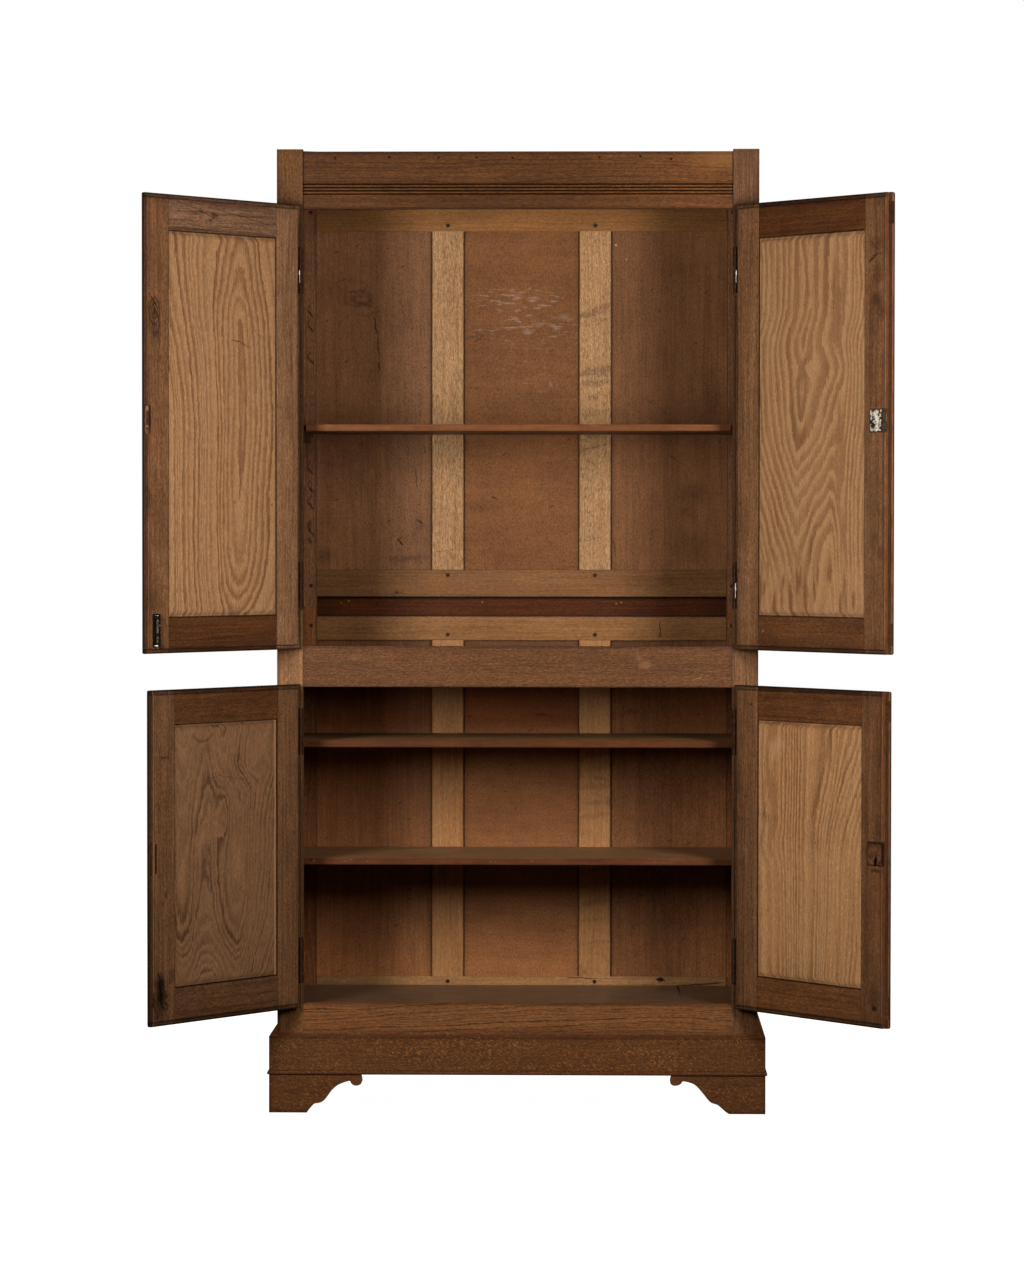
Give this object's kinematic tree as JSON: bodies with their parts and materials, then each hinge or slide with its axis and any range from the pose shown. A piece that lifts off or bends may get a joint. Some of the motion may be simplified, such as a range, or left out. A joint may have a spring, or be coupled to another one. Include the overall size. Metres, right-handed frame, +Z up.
{
  "type": "linen press",
  "caption": "Two-section panelled oak linen press with paired doors over paired doors, fixed shelves, a reeded frieze and a plinth on bracket feet.",
  "frame": {"origin": "on the floor, midway between the sides of the carcass and midway in depth between the free edges of the open doors and the back of the carcass", "axes": "+Z up, the doors face -Y, +X to the right of somebody facing the doors"},
  "size_m": [1.5601, 0.8576, 2.082],
  "materials": {
    "case_oak": "waxed oak, worn, cathedral and straight grain",
    "back_oak": "dry unpolished light oak",
    "back_panel": "dull brown stained boards",
    "joint_board": "dark red-brown stained board",
    "shelf": "reddish brown, dull wax",
    "floor": "dull brown boards",
    "door_frame": "waxed oak",
    "door_panel": "waxed light chestnut, cathedral grain",
    "door_panel_dark": "waxed walnut-brown board",
    "plinth_oak": "waxed oak, bold cathedral grain",
    "hinge_iron": "dark worn iron with bright wear",
    "bolt_iron": "dark iron",
    "lock_steel": "worn grey steel plate, pitted",
    "lock_rust": "rusty brown iron plate",
    "brass": "dull aged brass"
  },
  "bodies": {
    "carcass": {"upper_stile_left": "case_oak", "upper_stile_right": "case_oak", "frieze_rail": "case_oak", "upper_rear_post_left": "case_oak", "upper_rear_post_right": "case_oak", "upper_side_rails": "case_oak", "upper_side_panels": "case_oak", "upper_back_rails": "back_oak", "upper_back_muntins": "back_oak", "upper_back_panels": "back_panel", "top_board": "case_oak", "upper_shelf": "shelf", "shelf_cleats": "shelf", "joint_board": "joint_board", "pegs_and_dowels": "back_oak", "lower_stile_left": "case_oak", "lower_stile_right": "case_oak", "middle_rail": "case_oak", "bottom_rail": "case_oak", "lower_rear_post_left": "case_oak", "lower_rear_post_right": "case_oak", "lower_side_rails": "case_oak", "lower_side_panels": "case_oak", "lower_back_rails": "back_oak", "lower_back_muntins": "back_oak", "lower_back_panels": "back_panel", "dust_board": "shelf", "middle_shelf": "shelf", "bottom_shelf": "shelf", "floor_board": "floor", "plinth_front": "plinth_oak", "plinth_returns": "plinth_oak", "plinth_mouldings": "plinth_oak", "bracket_feet": "plinth_oak", "carcass_hinge_leaves": "hinge_iron", "hinge_pins": "hinge_iron"},
    "upper_left_door": {"upper_left_door_stiles": "door_frame", "upper_left_door_rails": "door_frame", "upper_left_door_panel": "door_panel", "upper_left_door_hinges": "hinge_iron", "barrel_bolt_case": "bolt_iron"},
    "upper_right_door": {"upper_right_door_stiles": "door_frame", "upper_right_door_rails": "door_frame", "upper_right_door_panel": "door_panel", "upper_right_door_hinges": "hinge_iron", "upper_lock_case": "lock_steel", "upper_escutcheon": "brass"},
    "lower_left_door": {"lower_left_door_stiles": "door_frame", "lower_left_door_rails": "door_frame", "lower_left_door_panel": "door_panel_dark", "lower_left_door_hinges": "hinge_iron"},
    "lower_right_door": {"lower_right_door_stiles": "door_frame", "lower_right_door_rails": "door_frame", "lower_right_door_panel": "door_panel", "lower_right_door_hinges": "hinge_iron", "lower_lock_case": "lock_rust", "lower_escutcheon": "brass"},
    "barrel_bolt": {"barrel_bolt_rod": "bolt_iron"},
    "upper_lock_tongue": {"upper_lock_bolt": "brass"},
    "lower_lock_tongue": {"lower_lock_bolt": "lock_rust"}
  },
  "joints": [
    {"name": "upper_left_door_hinge", "type": "hinge", "parent": "carcass", "child": "upper_left_door", "pos_m": [-0.4717, -0.0456, 1.4825], "axis": [0, 0, -1], "range_deg": [-128.9, 3.6]},
    {"name": "upper_right_door_hinge", "type": "hinge", "parent": "carcass", "child": "upper_right_door", "pos_m": [0.4717, -0.0456, 1.4825], "axis": [0, 0, 1], "range_deg": [-130.2, 2.3]},
    {"name": "lower_left_door_hinge", "type": "hinge", "parent": "carcass", "child": "lower_left_door", "pos_m": [-0.4717, -0.0456, 0.57775], "axis": [0, 0, -1], "range_deg": [-127.3, 5.2]},
    {"name": "lower_right_door_hinge", "type": "hinge", "parent": "carcass", "child": "lower_right_door", "pos_m": [0.4717, -0.0456, 0.57775], "axis": [0, 0, 1], "range_deg": [-129.5, 3]},
    {"name": "barrel_bolt_slide", "type": "slide", "parent": "upper_left_door", "child": "barrel_bolt", "axis": [0, 0, -1], "range_m": [0, 0.012]},
    {"name": "upper_lock_slide", "type": "slide", "parent": "upper_right_door", "child": "upper_lock_tongue", "axis": [0.6455, -0.7638, 0], "range_m": [0, 0.009]},
    {"name": "lower_lock_slide", "type": "slide", "parent": "lower_right_door", "child": "lower_lock_tongue", "axis": [0.6361, -0.7716, 0], "range_m": [0, 0.009]}
  ]
}
